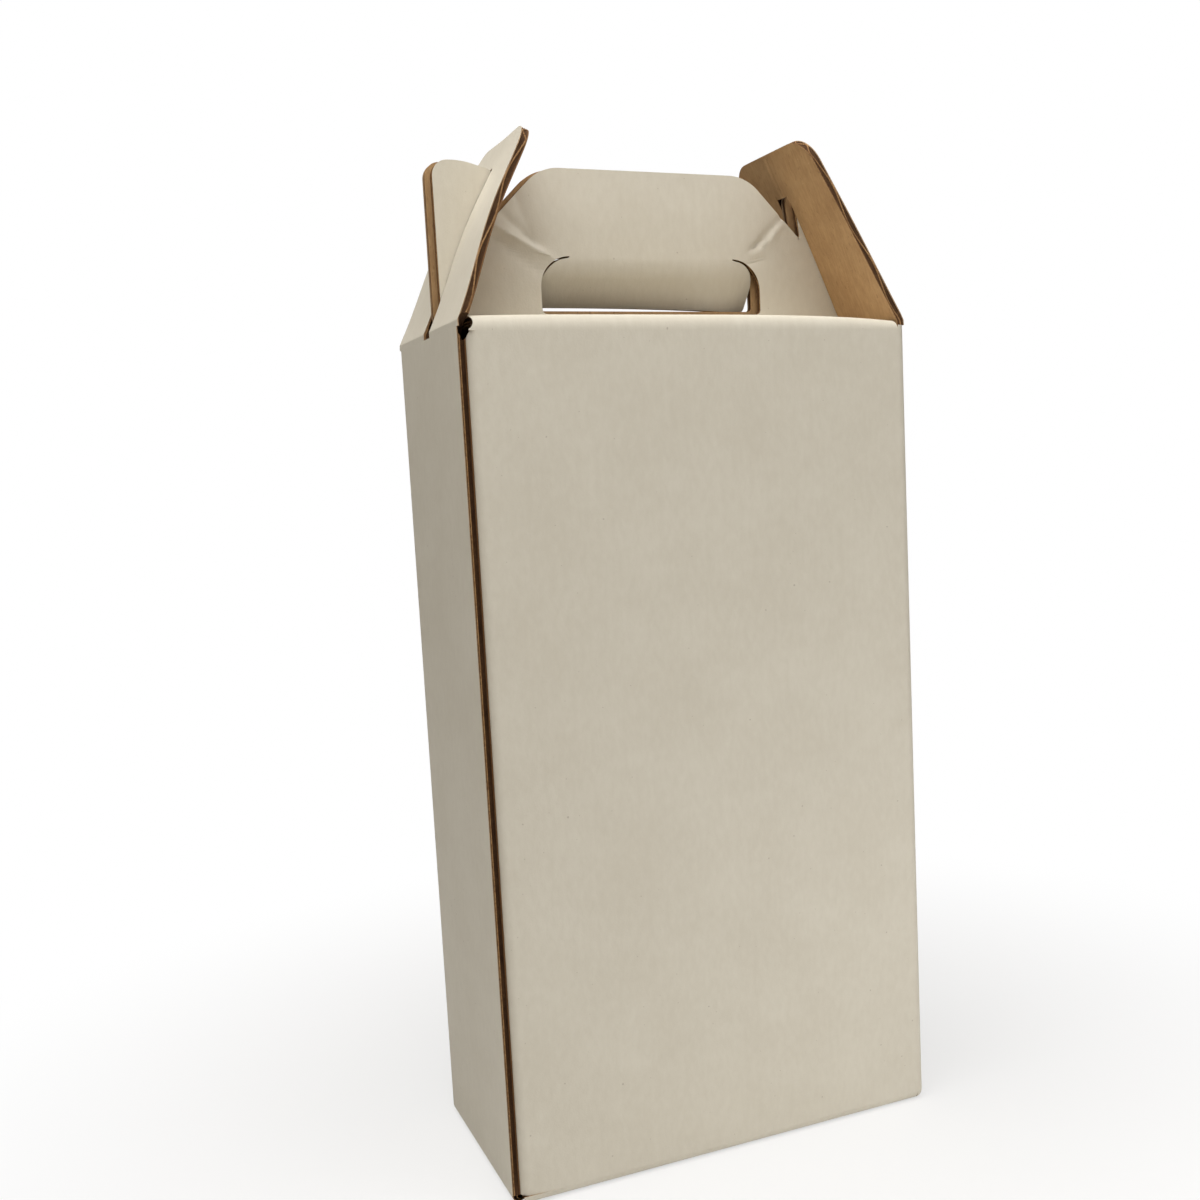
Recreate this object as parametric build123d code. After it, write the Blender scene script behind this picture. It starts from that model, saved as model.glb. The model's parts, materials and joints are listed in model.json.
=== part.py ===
from build123d import *
import os

# Two-bottle carrier box: one die-cut sheet of corrugated board, folded and glued.
# Millimetres and degrees. X runs along the front, Y from front to back, Z up.
# The origin is the middle of the floor.

# The box
width = 180.0
depth = 90.0
height = 321.0
board = 3.0
fold_radius = 3.5

# Manufacturer's joint at the front left corner
tab_width = 32.0
tab_end_gap = 8.0
cut_edge_recess = 0.4
relief_radius = 2.6
relief_drop = 1.2
relief_side = 2.7
glue_line = 0.5

# Floor with lapped flaps
seam_width = 1.0
seam_corner = 5.0
seam_inset = 40.0
lap_margin = 18.0

# Roof panels and the slits beside them
roof_slit = 0.7
fold_gap = 0.3

# Handle: two panels standing back to back
handle_gap = 2.0
handle_height = 61.2
handle_top_half = 43.3
handle_top_round = 18.0
handle_base_half = 85.5
notch_depth = 37.5
notch_round = 1.5
wing_half = 86.5
wing_step_low = 7.0
wing_step_high = 10.5
wing_top = 62.3
left_wing_inner = 61.5
right_wing_inner = 66.3
wing_inner_bottom = 69.5
wing_outer_round = 6.0
wing_inner_round = 3.0

# Hand hole and the grip tabs that stay hinged at its top edge
hole_half = 46.7
hole_middle = 1.2
hole_bottom = 7.0
hole_top = 28.7
hole_top_round = 10.0
hole_bottom_round = 2.0
grip_kerf = 0.6
grip_angle = 36.0

# Side flaps, slotted over the handle wings
flap_length = 78.5
flap_base_half = 44.0
flap_top_half = 29.0
flap_round = 13.0
slot_half = 4.75
left_slot_top = 67.0
right_slot_top = 60.2
slot_clearance = 0.5
slot_round = 0.7
crease_width = 1.0
crease_depth = 0.5
left_lean = 25.5
right_lean = 23.0

# Worked out from the dimensions above
half_w = width / 2
half_d = depth / 2
inner_half_w = half_w - board
inner_half_d = half_d - board
roof_half = inner_half_w - roof_slit
panel_top = height - board / 2 - fold_gap
hinge_x = half_w - board / 2
handle_back = handle_gap / 2
handle_front = handle_back + board
shoulder_run = handle_height - notch_depth
notch_shoulder = handle_top_half + shoulder_run


def near(vertices, x, y):
    """The vertex of a flat outline that lies nearest to (x, y)."""
    return sorted(vertices, key=lambda v: (v.X - x) ** 2 + (v.Y - y) ** 2)[0]


def span(x0, x1, y0, y1, z0, z1):
    """A plain block between two corners."""
    block = Box(x1 - x0, y1 - y0, z1 - z0, align=Align.MIN)
    return Pos(x0, y0, z0) * block


def shell():
    """Four walls, a roof and a floor as one folded skin with rounded folds."""
    block = span(-half_w, half_w, -half_d, half_d, 0, height)
    corners = block.edges().filter_by(Axis.Z)
    joint_edge = corners.sort_by(lambda e: e.center().X + e.center().Y)[0]
    folds = corners.filter_by(lambda e: e.center() != joint_edge.center())
    block = fillet(folds, fold_radius)
    block = fillet(block.faces().sort_by(Axis.Z)[0].edges(), fold_radius)
    top = block.faces().sort_by(Axis.Z)[-1].edges()
    block = fillet(top.filter_by(Axis.X), fold_radius)
    hollow = span(-inner_half_w, inner_half_w, -inner_half_d, inner_half_d, board, height - board)
    return block - hollow


def roof_slits():
    """Material taken away beside the roof, under the side flaps and between the handle panels."""
    centre = span(-roof_half, roof_half, -handle_back, handle_back, height - 2 * board, height + board)
    cuts = [centre]
    for side in (-1, 1):
        near_x, far_x = sorted((side * roof_half, side * half_w))
        cuts.append(span(near_x, far_x, -half_d, half_d, panel_top, height + board))
        near_x, far_x = sorted((side * roof_half, side * inner_half_w))
        cuts.append(span(near_x, far_x, -inner_half_d, inner_half_d, height - 2 * board, height))
    return cuts


def joint_cuts():
    """The side wall's cut edge, the roll of the front wall beside it and the punched relief hole."""
    recess = span(-half_w, -inner_half_w, -half_d, -half_d + cut_edge_recess, 0, height)
    corner = span(-inner_half_w, -inner_half_w + board, -half_d, -inner_half_d - glue_line, 0, height)
    roll = Pos(-inner_half_w + board, -inner_half_d, height / 2) * Cylinder(board, height)
    punch = Cylinder(relief_radius, 4 * board)
    centre = Pos(-half_w + relief_side, -half_d, height - relief_drop)
    return [recess, corner - roll, centre * Rot(X=45) * punch]


def glue_tab():
    """The flap of the front wall that is glued inside the left wall."""
    x0 = -inner_half_w
    return span(x0, x0 + board, -inner_half_d, tab_width - half_d, tab_end_gap, height - tab_end_gap)


def floor_seams():
    """Slits between the four lapped floor flaps, cut through the outer layer."""
    apex = half_w - seam_inset
    corner_x = half_w - seam_corner
    corner_y = half_d - seam_corner
    paths = [Line((-apex, 0), (apex, 0))]
    for side in (-1, 1):
        for end in (-1, 1):
            paths.append(Line((side * apex, 0), (side * corner_x, end * corner_y)))
    return [extrude(trace(path, seam_width), board) for path in paths]


def floor_lap():
    """The inner layer of the floor, where the flaps lie on each other."""
    x1 = half_w - lap_margin
    y1 = inner_half_d - board
    return span(-x1, x1, -y1, y1, board, 2 * board)


def handle_half(wing_inner_top, slot_top):
    """Right half of a handle panel: shoulder, notch and wing, with Z measured from the roof.

    The wing's crown is level at its outside and follows an arc about the flap's fold at its inside,
    so that the slot of the turning flap clears it.
    """
    reach = slot_top - slot_clearance
    outer_top = min(wing_top, (reach ** 2 - (hinge_x - wing_half) ** 2) ** 0.5)
    arc_top = (hinge_x - (reach ** 2 - outer_top ** 2) ** 0.5, outer_top)
    arc_end = (wing_inner_top, (reach ** 2 - (hinge_x - wing_inner_top) ** 2) ** 0.5)
    up = Polyline(
        (0, -board),
        (handle_base_half, -board),
        (handle_base_half, wing_step_low),
        (wing_half, wing_step_high),
        (wing_half, outer_top),
    )
    if outer_top == wing_top:
        up += Line((wing_half, wing_top), arc_top)
    crown = RadiusArc(arc_top, arc_end, -reach)
    down = Polyline(
        arc_end,
        (wing_inner_bottom, notch_depth),
        (notch_shoulder, notch_depth),
        (handle_top_half, handle_height),
        (0, handle_height),
        (0, -board),
    )
    face = make_face(up + crown + down)
    face = fillet(near(face.vertices(), wing_half, outer_top), wing_outer_round)
    face = fillet(near(face.vertices(), *arc_end), wing_inner_round)
    face = fillet(near(face.vertices(), wing_inner_bottom, notch_depth), notch_round)
    return fillet(near(face.vertices(), handle_top_half, handle_height), handle_top_round)


def hole_outline(kerf):
    """The hand hole, or with a kerf the grip tab that was cut from it."""
    half = hole_half - kerf
    low = hole_bottom + kerf
    face = Pos(hole_middle, (low + hole_top) / 2) * Rectangle(2 * half, hole_top - low)
    tops = face.vertices().group_by(Axis.Y)[-1]
    face = fillet(tops, hole_top_round)
    return fillet(face.vertices().group_by(Axis.Y)[0], hole_bottom_round)


def grip_tab(panel_back, pivot_y):
    """A tab bent backward about the top edge of the hole, with a rolled bend."""
    flat = Plane((0, panel_back, height), x_dir=(1, 0, 0), z_dir=(0, -1, 0))
    hinge = Axis((0, pivot_y, height + hole_top), (1, 0, 0))
    tab = extrude(flat * hole_outline(grip_kerf), board)
    tab = tab.rotate(hinge, grip_angle)
    root_half = hole_half - hole_top_round
    root = Pos(hole_middle, panel_back - board / 2, height + hole_top) * Rectangle(2 * root_half, board)
    return tab + revolve(root, hinge, grip_angle)


def handle_panel(panel_back):
    """One handle panel with its hand hole and notches, standing on the roof's inner edge."""
    flat = Plane((0, panel_back, height), x_dir=(1, 0, 0), z_dir=(0, -1, 0))
    left_half = mirror(handle_half(left_wing_inner, left_slot_top), about=Plane.YZ)
    outline = handle_half(right_wing_inner, right_slot_top) + left_half
    return extrude(flat * (outline - hole_outline(0)), board)


def carton_body():
    """The folded sheet: walls, glued joint, floor, roof panels and handle, as one solid."""
    body = shell() - roof_slits() - joint_cuts() - floor_seams()
    body += glue_tab()
    body += floor_lap()
    body += handle_panel(-handle_back)
    body += handle_panel(handle_front)
    body += grip_tab(-handle_back, -handle_back)
    body += grip_tab(handle_front, handle_front)
    return body


def side_flap(lean, slot_top):
    """Right side flap, upright at its fold, then leaned in over the handle wing."""
    plane = Plane((half_w - board, 0, height), x_dir=(0, 1, 0), z_dir=(1, 0, 0))
    outline = Polyline(
        (-flap_base_half, 0),
        (flap_base_half, 0),
        (flap_top_half, flap_length),
        (-flap_top_half, flap_length),
        close=True,
    )
    face = make_face(outline)
    face = fillet(face.vertices().group_by(Axis.Y)[-1], flap_round)
    flap = extrude(plane * face, board)
    bead = Rot(X=90) * Cylinder(board / 2, 2 * flap_base_half)
    flap += Pos(hinge_x, 0, height) * bead
    slot = Pos(0, slot_top / 2 - board) * Rectangle(2 * slot_half, slot_top + 2 * board)
    slot = fillet(slot.vertices().group_by(Axis.Y)[-1], slot_round)
    flap -= extrude(plane * slot, board)
    crease = Box(2 * crease_depth, crease_width, flap_length)
    flap -= Pos(half_w - board, 0, height + slot_top + flap_length / 2) * crease
    hinge = Axis((hinge_x, 0, height), (0, 1, 0))
    return flap.rotate(hinge, -lean)


parts = {
    "carton_body": carton_body(),
    "right_flap": side_flap(right_lean, right_slot_top),
    "left_flap": mirror(side_flap(left_lean, left_slot_top), about=Plane.YZ),
}

os.makedirs("parts", exist_ok=True)
for name, solid in parts.items():
    export_step(solid, f"parts/{name}.step")
    print(name, len(solid.solids()), "solid", round(solid.volume), "mm3", solid.is_valid)
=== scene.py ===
# %% [markdown]
# # A carrier box for two bottles
# The real box is one die-cut sheet of corrugated board, white outside and brown inside.
# Its walls, floor and roof are folds of that sheet, and the roof runs up into a handle.
# Plain slabs could stand for it, but then the rounded folds, the fluted cut edges and the
# buckled handle would be missing. So each stretch of the sheet is worked out as a surface of
# its own, as thick as the board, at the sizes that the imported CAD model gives.

# %% Frame and units
import json
import math

import bmesh
import bpy
import numpy as np
from mathutils import Matrix, Vector


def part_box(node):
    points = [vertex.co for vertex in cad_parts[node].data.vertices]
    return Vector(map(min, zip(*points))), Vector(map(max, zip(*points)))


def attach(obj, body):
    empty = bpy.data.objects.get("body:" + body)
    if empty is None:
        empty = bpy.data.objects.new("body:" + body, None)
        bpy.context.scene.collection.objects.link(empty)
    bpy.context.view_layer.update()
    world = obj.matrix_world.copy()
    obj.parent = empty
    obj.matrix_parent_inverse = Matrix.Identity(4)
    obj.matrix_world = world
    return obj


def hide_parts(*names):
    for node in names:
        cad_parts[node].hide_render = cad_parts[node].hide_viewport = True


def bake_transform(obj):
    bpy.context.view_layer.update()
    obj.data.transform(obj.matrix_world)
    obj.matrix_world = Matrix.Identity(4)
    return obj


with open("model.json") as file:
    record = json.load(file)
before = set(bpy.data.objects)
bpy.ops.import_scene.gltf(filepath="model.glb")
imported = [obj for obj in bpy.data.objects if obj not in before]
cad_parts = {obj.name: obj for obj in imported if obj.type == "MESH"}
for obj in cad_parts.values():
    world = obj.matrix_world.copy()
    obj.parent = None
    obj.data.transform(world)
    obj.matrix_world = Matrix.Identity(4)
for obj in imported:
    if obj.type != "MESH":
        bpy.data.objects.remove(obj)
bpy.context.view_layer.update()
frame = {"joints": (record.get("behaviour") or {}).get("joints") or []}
MM = 0.001


def placed(name, data):
    """A new object in the scene."""
    made = bpy.data.objects.new(name, data)
    bpy.context.scene.collection.objects.link(made)
    return made


joints = {joint["name"]: joint for joint in frame["joints"]}
hinge_x, _, height = np.array(joints["right_flap_fold"]["pos_m"]) / MM
half_w, half_d, _ = np.array(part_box("carton_body")[1]) / MM
board = 2 * (half_w - hinge_x)
print("box", 2 * half_w, "x", 2 * half_d, "x", height, "mm, board", round(board, 2), "mm")

# %% [markdown]
# ## Camera
# The edges of the box in the photo fix where the camera stood, which way it looked and how much
# it leaned. The picture was cropped off centre, so the lens axis meets it right of and below the
# middle. A small lens shift repeats that, and keeps the upright edges converging as they do there.

# %% Camera
camera_place = (-215.6, -495.9, 266.9)
camera_heading = 23.5
camera_pitch = -6.87
camera_roll = -2.75
picture_px = 1200
focal_px = 1338.1
axis_px = (664.0, 632.0)

camera = placed("camera", bpy.data.cameras.new("camera"))
turn = Matrix.Rotation(-math.radians(camera_heading), 4, "Z")
tilt = Matrix.Rotation(math.radians(90 + camera_pitch), 4, "X")
roll = Matrix.Rotation(math.radians(camera_roll), 4, "Z")
camera.matrix_world = Matrix.Translation(Vector(camera_place) * MM) @ turn @ tilt @ roll
camera.data.sensor_width = 36.0
camera.data.lens = camera.data.sensor_width * focal_px / picture_px
camera.data.shift_x = 0.5 - axis_px[0] / picture_px
camera.data.shift_y = axis_px[1] / picture_px - 0.5
camera.data.clip_start = 0.01
bpy.context.scene.camera = camera
print("lens", round(camera.data.lens, 2), "mm, looks along", turn @ tilt @ roll @ Vector((0, 0, -1)))

# %% [markdown]
# ## Shader expressions
# A material is a net of nodes, and arithmetic on it takes many Math nodes. They could be added
# one by one, but then the formula is lost. This class wraps a node's output, so that a Python
# expression such as `1 - mask * 0.5` adds the nodes and can still be read as a formula.


# %% Shader expressions
class Shade:
    """An output socket in a material: each operator adds one Math node and gives its result."""

    def __init__(self, tree, socket=None):
        self.tree = tree
        self.socket = socket

    def node(self, kind, settings, sockets, output=0):
        """Adds a node: its type, its settings, then values or links for its sockets."""
        made = self.tree.nodes.new(kind)
        for name, value in settings.items():
            setattr(made, name, value)
        for name, value in sockets.items():
            if isinstance(value, Shade):
                self.tree.links.new(value.socket, made.inputs[name])
            else:
                made.inputs[name].default_value = value
        return Shade(self.tree, made.outputs[output] if made.outputs else None)

    def math(self, operation, first, second=0.0):
        """One Math node on two values."""
        return self.node("ShaderNodeMath", {"operation": operation}, {0: first, 1: second})

    def __add__(self, other):
        return self.math("ADD", self, other)

    def __radd__(self, other):
        return self.math("ADD", other, self)

    def __sub__(self, other):
        return self.math("SUBTRACT", self, other)

    def __rsub__(self, other):
        return self.math("SUBTRACT", other, self)

    def __mul__(self, other):
        return self.math("MULTIPLY", self, other)

    def sine(self):
        return self.math("SINE", self)

    def size(self):
        return self.math("ABSOLUTE", self)

    def rise(self, low, high):
        """0 below low, 1 above high and a smooth step between them."""
        settings = {"interpolation_type": "SMOOTHSTEP"}
        return self.node("ShaderNodeMapRange", settings, {0: self, 1: low, 2: high})

    def blend(self, first, second):
        """A colour that goes from the first to the second as this value goes from 0 to 1."""
        settings = {"data_type": "RGBA", "clamp_factor": True}
        return self.node("ShaderNodeMix", settings, {0: self, 6: first, 7: second}, output=2)

    def noise(self, place, scale, detail=2.0, roughness=0.5):
        """Soft random cloud, 0 to 1, with `scale` cells to the metre."""
        sockets = {"Vector": place, "Scale": scale, "Detail": detail, "Roughness": roughness}
        return self.node("ShaderNodeTexNoise", {"noise_dimensions": "3D"}, sockets)

    def blank(self):
        """A point's place on the flat blank, in metres."""
        return self.node("ShaderNodeUVMap", {"uv_map": "blank"}, {})

    def part(self, axis):
        """One coordinate of a place: 0 for X, 1 for Y."""
        return self.node("ShaderNodeSeparateXYZ", {}, {0: self}, output=axis)

    def stretched(self, scale):
        """A place multiplied by a scale for each axis, for a pattern that runs one way."""
        return self.node("ShaderNodeVectorMath", {"operation": "MULTIPLY"}, {0: self, 1: scale})

    def bump(self, depth, strength):
        """A surface normal tilted as if this value were a relief of the given depth in metres."""
        sockets = {"Strength": strength, "Distance": depth, "Height": self}
        return self.node("ShaderNodeBump", {}, sockets)


def srgb(red, green, blue):
    """A colour given as screen values 0 to 255, in the linear light that shaders use."""
    screen = np.array([red, green, blue]) / 255
    linear = np.where(screen <= 0.04045, screen / 12.92, ((screen + 0.055) / 1.055) ** 2.4)
    return (*linear.tolist(), 1.0)


def new_material(name):
    """An empty material and the Shade that adds nodes to it."""
    material = bpy.data.materials.new(name)
    material.use_nodes = True
    material.node_tree.nodes.clear()
    return material, Shade(material.node_tree)


def finish_material(shade, principled):
    """Links a shader to the material's output."""
    shade.node("ShaderNodeOutputMaterial", {}, {"Surface": principled})


print("shader expressions ready")

# %% [markdown]
# ## White liner
# The outside of the sheet is bleached paper with a thin matt coat. Close up it is never one
# colour: it has a soft mottle, a fine orange-peel grain, faint upright lines where the flutes
# lie underneath, and a few specks. A photo texture could give that, but it would not follow
# another lamp. Here the pattern is worked out from each point's place on the flat blank, which
# every piece carries as its UV map in metres.

# %% White liner
flute_pitch = 6.3
WHITE, KRAFT, CUT = 0, 1, 2


def flute_wave(across):
    """The flutes' sine, -1 to 1, from the place across them in metres."""
    return (across * (2 * math.pi / (flute_pitch * MM))).sine()


def white_liner():
    """Coated white paper: mottle, grain, flute lines and specks drive colour, roughness and bump."""
    material, shade = new_material("white_liner")
    place = shade.blank()
    mottle = shade.noise(place, 30.0, 4.0, 0.6)
    fibre = shade.noise(place.stretched((1.0, 0.45, 1.0)), 420.0, 3.0, 0.6)
    grain = shade.noise(place, 1500.0, 2.0, 0.5)
    flutes = flute_wave(place.part(0))
    specks = shade.noise(place, 700.0, 0.0).rise(0.86, 0.88)
    stain = (mottle * 0.5 + fibre * 0.4 + flutes * 0.008 + grain * 0.1).rise(0.3, 0.72)
    paper = stain.blend(srgb(211, 204, 188), srgb(219, 213, 198))
    paper = (specks * 0.35).blend(paper, srgb(130, 110, 88))
    relief = fibre * 0.6 + grain * 0.4 + flutes * 0.03
    sockets = {
        "Base Color": paper,
        "Roughness": 0.5 + fibre * 0.22,
        "Normal": relief.bump(0.00035, 0.35),
        "Specular IOR Level": 0.35,
    }
    finish_material(shade, shade.node("ShaderNodeBsdfPrincipled", {}, sockets))
    return material


white_paper = white_liner()
print("made", white_paper.name, "with flute lines every", flute_pitch, "mm")

# %% [markdown]
# ## Brown liner
# The inside of the sheet is unbleached kraft paper: long fibres that lie mostly one way, darker
# flecks and light hairs, and again the flutes showing through. Stretched noise gives the fibres
# their direction, and two thresholds pick out flecks and hairs.


# %% Brown liner
def kraft_liner():
    """Unbleached paper: stretched noise for fibres, with dark flecks and pale hairs."""
    material, shade = new_material("kraft_liner")
    place = shade.blank()
    mottle = shade.noise(place, 45.0, 4.0, 0.65)
    fibre = shade.noise(place.stretched((1.0, 0.22, 1.0)), 900.0, 4.0, 0.7)
    flecks = shade.noise(place.stretched((1.0, 0.4, 1.0)), 800.0, 1.0).rise(0.66, 0.74)
    hairs = shade.noise(place.stretched((0.25, 1.0, 1.0)), 1300.0, 2.0).rise(0.68, 0.75)
    flutes = flute_wave(place.part(0))
    tone = (mottle * 0.5 + fibre * 0.45 + flutes * 0.012).rise(0.25, 0.72)
    paper = tone.blend(srgb(170, 134, 93), srgb(203, 167, 122))
    paper = (flecks * 0.35).blend(paper, srgb(128, 96, 62))
    paper = (hairs * 0.3).blend(paper, srgb(222, 194, 152))
    relief = fibre * 0.7 + mottle * 0.3 + flutes * 0.06
    sockets = {
        "Base Color": paper,
        "Roughness": 0.74 + fibre * 0.16,
        "Normal": relief.bump(0.0004, 0.4),
        "Specular IOR Level": 0.25,
    }
    finish_material(shade, shade.node("ShaderNodeBsdfPrincipled", {}, sockets))
    return material


brown_paper = kraft_liner()
print("made", brown_paper.name)

# %% [markdown]
# ## Cut edge
# A die cut shows the board's section: two liners and the waved medium between them, with open
# flutes. The flutes run upright, so a level edge shows the wave and an upright edge shows
# straight lines. One formula gives both: the wave's place through the board depends only on the
# place across the flutes. The mesh uses it to sink the flutes, and the shader uses it to paint
# shade into them: the open flutes are painted near black. The edge's inner half is painted darker
# too, as painted shade.

# %% Cut edge
wave_half = 0.3
liner_share = 0.12
medium_share = 0.075


def cut_edge_paper():
    """Board section: u across the flutes in metres, v through the board from 0 outside to 1 inside."""
    material, shade = new_material("cut_edge_paper")
    place = shade.blank()
    through = place.part(1)
    object_place = shade.node("ShaderNodeTexCoord", {}, {}, output=3)
    torn = shade.noise(object_place, 900.0, 4.0, 0.7)
    patch = shade.noise(object_place, 120.0, 3.0, 0.6)
    wave = flute_wave(place.part(0)) * wave_half + 0.5
    from_medium = (through + torn * 0.08 - 0.04 - wave).size()
    off_medium = from_medium.rise(medium_share * 0.6, medium_share * 1.7)
    liner_border = (liner_share * 0.7, liner_share * 1.3)
    off_outer = (through + torn * 0.05 - 0.025).rise(*liner_border)
    off_inner = (1.0 - through + torn * 0.05 - 0.025).rise(*liner_border)
    open_flute_shade = off_medium * off_outer * off_inner
    paper = (torn * 0.6 + patch * 0.4).rise(0.3, 0.7).blend(srgb(128, 92, 60), srgb(182, 143, 98))
    # painted shade: the open flutes, already sunk in the mesh, are also painted near black
    paper = (open_flute_shade * (0.62 + patch * 0.5)).blend(paper, srgb(52, 32, 19))
    # painted shade: the inner half of the cut edge is darkened towards the brown face
    paper = (through.rise(0.55, 0.95) * 0.6).blend(paper, srgb(84, 56, 34))
    paper = ((1.0 - off_outer) * 0.3).blend(paper, srgb(204, 190, 166))
    sockets = {
        "Base Color": paper,
        "Roughness": 0.82 + torn * 0.12,
        "Normal": (torn * 0.6 + patch * 0.4).bump(0.0006, 0.5),
        "Specular IOR Level": 0.15,
    }
    finish_material(shade, shade.node("ShaderNodeBsdfPrincipled", {}, sockets))
    return material


board_finishes = [white_paper, brown_paper, cut_edge_paper()]
print("board finishes:", [material.name for material in board_finishes])

# %% [markdown]
# ## From grids to a sheet of board
# Every stretch of the sheet is a pair of grids, its white face and its brown face, one board
# thickness apart. Cut edges close the pair all round. A Solidify modifier could add the
# thickness, but it would leave the edges plain. Here an edge is a ribbon whose open flutes are
# sunk by the wave formula. Doubles are merged at the end, so each stretch is one closed shell.

# %% Sheet builder
flute_depth = 1.3
edge_columns = 14
border_blur = 0.7
sharp_angle = math.radians(38)
merge_distance = 2e-6
degenerate_length = 1e-7


class Sheet:
    """Gathers grids of points in mm into one mesh with a face kind and a place on the blank."""

    def __init__(self):
        self.points = []
        self.places = []
        self.quads = []
        self.kinds = []
        self.count = 0

    def add(self, grid, place, kind):
        """Adds a rows x columns grid: quads between neighbours, all of one kind."""
        rows, columns = grid.shape[:2]
        index = self.count + np.arange(rows * columns).reshape(rows, columns)
        corners = [index[:-1, :-1], index[:-1, 1:], index[1:, 1:], index[1:, :-1]]
        quads = np.stack(corners, -1).reshape(-1, 4)
        self.points.append(grid.reshape(-1, 3))
        self.places.append(np.broadcast_to(place, (rows, columns, 2)).reshape(-1, 2))
        self.quads.append(quads)
        self.kinds.append(np.full(len(quads), kind))
        self.count += rows * columns

    def build(self, name):
        """Makes the object: merged, with normals outward and sharp cut edges."""
        quads = np.concatenate(self.quads)
        mesh = bpy.data.meshes.new(name)
        mesh.from_pydata((np.concatenate(self.points) * MM).tolist(), [], quads.tolist())
        blank = mesh.uv_layers.new(name="blank")
        blank.data.foreach_set("uv", np.concatenate(self.places)[quads.ravel()].ravel())
        mesh.polygons.foreach_set("material_index", np.concatenate(self.kinds).astype(np.int32))
        for material in board_finishes:
            mesh.materials.append(material)
        shell = bmesh.new()
        shell.from_mesh(mesh)
        bmesh.ops.remove_doubles(shell, verts=shell.verts, dist=merge_distance)
        bmesh.ops.dissolve_degenerate(shell, edges=shell.edges, dist=degenerate_length)
        bmesh.ops.recalc_face_normals(shell, faces=shell.faces)
        if shell.calc_volume(signed=True) < 0:
            bmesh.ops.reverse_faces(shell, faces=shell.faces)
        open_edges = sum(len(edge.link_faces) != 2 for edge in shell.edges)
        shell.to_mesh(mesh)
        shell.free()
        mesh.shade_smooth()
        mesh.set_sharp_from_angle(angle=sharp_angle)
        made = placed(name, mesh)
        print(name, len(mesh.polygons), "faces,", open_edges, "edges without two faces")
        return made


def stacked(*parts):
    """Coordinates whose shapes match, put together as points."""
    return np.stack(np.broadcast_arrays(*parts), -1)


def line_at(places, keys, points, period=None):
    """Points of a flat line at given places along it: `keys` are the places of its own points."""
    return stacked(*(np.interp(places, keys, points[:, axis], period=period) for axis in (0, 1)))


def unit(vectors):
    """The same directions with length 1."""
    return vectors / np.maximum(np.linalg.norm(vectors, axis=-1, keepdims=True), 1e-9)


def sunk(flutes, across):
    """Share of the depth that a cut edge falls back: 0 on liners and medium, 1 in open flutes."""
    wave = 0.5 + wave_half * np.sin(2 * np.pi * flutes / flute_pitch)
    off_medium = np.clip(np.abs(across - wave[:, None]) / medium_share - border_blur, 0, 1)
    off_liner = np.clip(np.minimum(across, 1 - across) / liner_share - border_blur, 0, 1)
    return off_medium * off_liner


def cut_edge(sheet, outer, inner, beside, flutes, depth, closed):
    """A ribbon from the white face's border to the brown face's border.

    Across it runs from outer to inner, and each point is pushed into the board by `sunk`.
    The push is square to the border and to the thickness, on the side of the points `beside`.
    It stops at the ends of an open border, so that neighbouring edges meet there.
    """
    across = np.linspace(0, 1, edge_columns)
    ring = np.vstack([outer[-2], outer, outer[1]]) if closed else outer
    along = np.gradient(ring, axis=0)[1:-1] if closed else np.gradient(ring, axis=0)
    push = unit(np.cross(along, inner - outer))
    push = push * np.sign(np.sum(push * (beside - outer)))
    deep = np.reshape(depth, (-1, 1)) * sunk(flutes, across)
    if not closed:
        deep[[0, -1]] = 0
    flat = outer[:, None] + (inner - outer)[:, None] * across[:, None]
    ribbon = flat + push[:, None] * deep[..., None]
    place = stacked(flutes[:, None] * MM, across)
    sheet.add(ribbon, place, CUT)


def slab(sheet, outer, inner, place, flutes, fluted, closed=False):
    """A stretch of board between two grids, with cut edges on its four sides.

    `fluted` gives the share of open flutes for a side: first, last, left or right.
    A closed grid is a ring and has no left and right side.
    """
    sheet.add(outer, place * MM, WHITE)
    sheet.add(inner, place * MM, KRAFT)
    for side, row, next_row in (("first", 0, 1), ("last", -1, -2)):
        lines = outer[row], inner[row], outer[next_row], flutes[row]
        cut_edge(sheet, *lines, flute_depth * fluted.get(side, 0), closed)
    if closed:
        return
    for side, column, next_column in (("left", 0, 1), ("right", -1, -2)):
        lines = outer[:, column], inner[:, column], outer[:, next_column], flutes[:, column]
        cut_edge(sheet, *lines, flute_depth * fluted.get(side, 0), False)


def bent_line(start, heading, moves):
    """Follows the sheet edge-on from a start point and a heading in degrees.

    A move is (length, turn in degrees, steps), so a turn spread over a length is an arc.
    Each step goes along the mean of its two headings, by the chord of its arc.
    Returns the points, the normals on the line's right and the running length.
    """
    lengths = np.concatenate([np.full(steps, length / steps) for length, _, steps in moves])
    turns = np.radians(np.concatenate([np.full(steps, turn / steps) for _, turn, steps in moves]))
    headings = np.radians(heading) + np.append(0, np.cumsum(turns))
    middle = (headings[1:] + headings[:-1]) / 2
    chords = lengths * np.sinc(turns / 2 / np.pi)
    steps = chords[:, None] * stacked(np.cos(middle), np.sin(middle))
    points = np.array(start) + np.vstack([np.zeros(2), np.cumsum(steps, 0)])
    normals = stacked(np.sin(headings), -np.cos(headings))
    return points, normals, np.append(0, np.cumsum(lengths))


print("sheet builder ready, flute pitch", flute_pitch, "mm")

# %% [markdown]
# ## Walls and glued joint
# Seen from above, the walls are one strip that starts inside the left wall as the glue tab, rolls
# round the front left corner and then folds three times. It ends at the front left corner again,
# with its cut edge showing. The plan is a bent line, carried straight up. Near the joint the front
# wall leans back a little before it rolls, which gives the soft shade beside the seam.

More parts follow.
